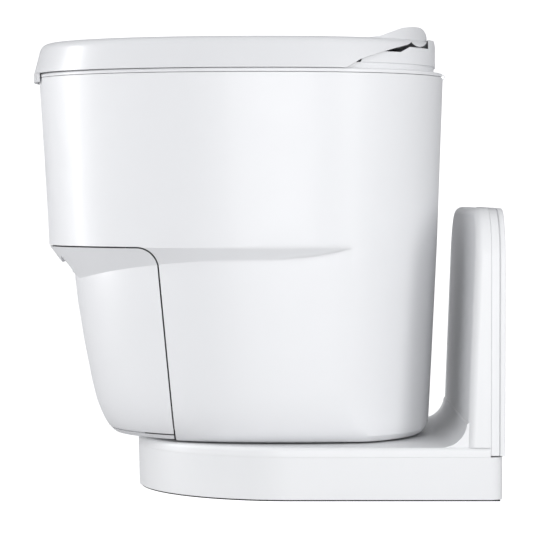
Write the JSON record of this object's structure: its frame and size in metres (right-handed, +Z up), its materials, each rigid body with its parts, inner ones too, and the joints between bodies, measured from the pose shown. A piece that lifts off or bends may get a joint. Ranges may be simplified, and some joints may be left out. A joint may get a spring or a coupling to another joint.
{
  "type": "sealing toilet",
  "caption": "White mobile sealing toilet with lid, seat, film sealing unit and bin drawer, turning on a floor box with an L-shaped wall upright.",
  "frame": {"origin": "on the floor under the swivel axis", "axes": "+Z up along the swivel axis, -X towards the front of the toilet, +X towards the wall, Y across"},
  "size_m": [0.505, 0.39, 0.4984],
  "materials": {
    "white_shell": "satin gloss moulded white",
    "grey_plastic": "fine grained grey",
    "black_plastic": "matte black",
    "rubber": "soft black rubber",
    "nylon": "natural nylon",
    "steel": "zinc plated steel",
    "aluminium": "milled aluminium",
    "film": "thin multilayer film",
    "heater": "coated heater band",
    "silicone": "red silicone",
    "lens": "clear green light guide",
    "board": "green circuit board"
  },
  "bodies": {
    "base": {"floor_mat": "rubber", "base_box": "white_shell", "base_cover": "white_shell", "upright_spacer": "white_shell", "wall_plate": "white_shell", "power_inlet": "black_plastic", "slide_ring": "nylon", "hub_post": "steel", "hub_nut": "steel"},
    "toilet": {"body_shell": "white_shell", "chassis_pan": "grey_plastic", "frame_hinge_pins": "steel", "drawer_rails": "steel", "funnel": "white_shell", "film_cartridge": "grey_plastic", "film_sleeve": "film", "seal_frame": "grey_plastic", "guide_rods": "steel", "jaw_screw": "steel", "jaw_motor": "black_plastic", "roller_motor": "black_plastic", "control_box": "black_plastic", "deck_screws": "steel"},
    "drawer": {"front_door": "white_shell", "drawer_tray": "white_shell", "waste_bin": "grey_plastic"},
    "front_jaw": {"jaw_front": "aluminium", "heater_strip": "heater"},
    "rear_jaw": {"jaw_rear": "aluminium", "silicone_pad": "silicone"},
    "front_roller": {"roller_front": "rubber"},
    "rear_roller": {"roller_rear": "rubber"},
    "top_unit": {"top_ring": "white_shell", "seat": "white_shell", "seat_buffers": "rubber", "console_housing": "white_shell", "console_panel": "grey_plastic", "status_window": "lens", "switch_board": "board", "lid_hinge_pin": "steel"},
    "lid": {"lid_shell": "white_shell", "lid_liner": "white_shell", "lid_buffers": "rubber"},
    "key": {"start_button": "white_shell"}
  },
  "joints": [
    {"name": "swivel", "type": "hinge", "parent": "base", "child": "toilet", "pos_m": [0, 0, 0], "axis": [0, 0, 1], "range_deg": [-90, 90]},
    {"name": "drawer_slide", "type": "slide", "parent": "toilet", "child": "drawer", "axis": [-1, 0, 0], "range_m": [0, 0.19]},
    {"name": "top_unit_hinge", "type": "hinge", "parent": "toilet", "child": "top_unit", "pos_m": [0.1915, 0, 0.447], "axis": [0, 1, 0], "range_deg": [0, 75]},
    {"name": "lid_hinge", "type": "hinge", "parent": "top_unit", "child": "lid", "pos_m": [0.1625, 0, 0.4876], "axis": [0, 1, 0], "range_deg": [0, 95]},
    {"name": "start_key", "type": "slide", "parent": "top_unit", "child": "key", "axis": [0, 0, -1], "range_m": [0, 0.002], "stiffness_N_per_m": 400},
    {"name": "front_jaw_slide", "type": "slide", "parent": "toilet", "child": "front_jaw", "axis": [1, 0, 0], "range_m": [0, 0.0175]},
    {"name": "rear_jaw_slide", "type": "slide", "parent": "toilet", "child": "rear_jaw", "axis": [-1, 0, 0], "range_m": [0, 0.0175]},
    {"name": "rear_roller_spin", "type": "hinge", "parent": "toilet", "child": "rear_roller", "pos_m": [-0.063, 0, 0.276], "axis": [0, 1, 0], "continuous": true},
    {"name": "front_roller_spin", "type": "hinge", "parent": "toilet", "child": "front_roller", "pos_m": [-0.081, 0, 0.276], "axis": [0, 1, 0], "continuous": true}
  ],
  "couplings": [
    {"joint": "rear_jaw_slide", "follows": "front_jaw_slide", "ratio": 1},
    {"joint": "front_roller_spin", "follows": "rear_roller_spin", "ratio": -1}
  ]
}
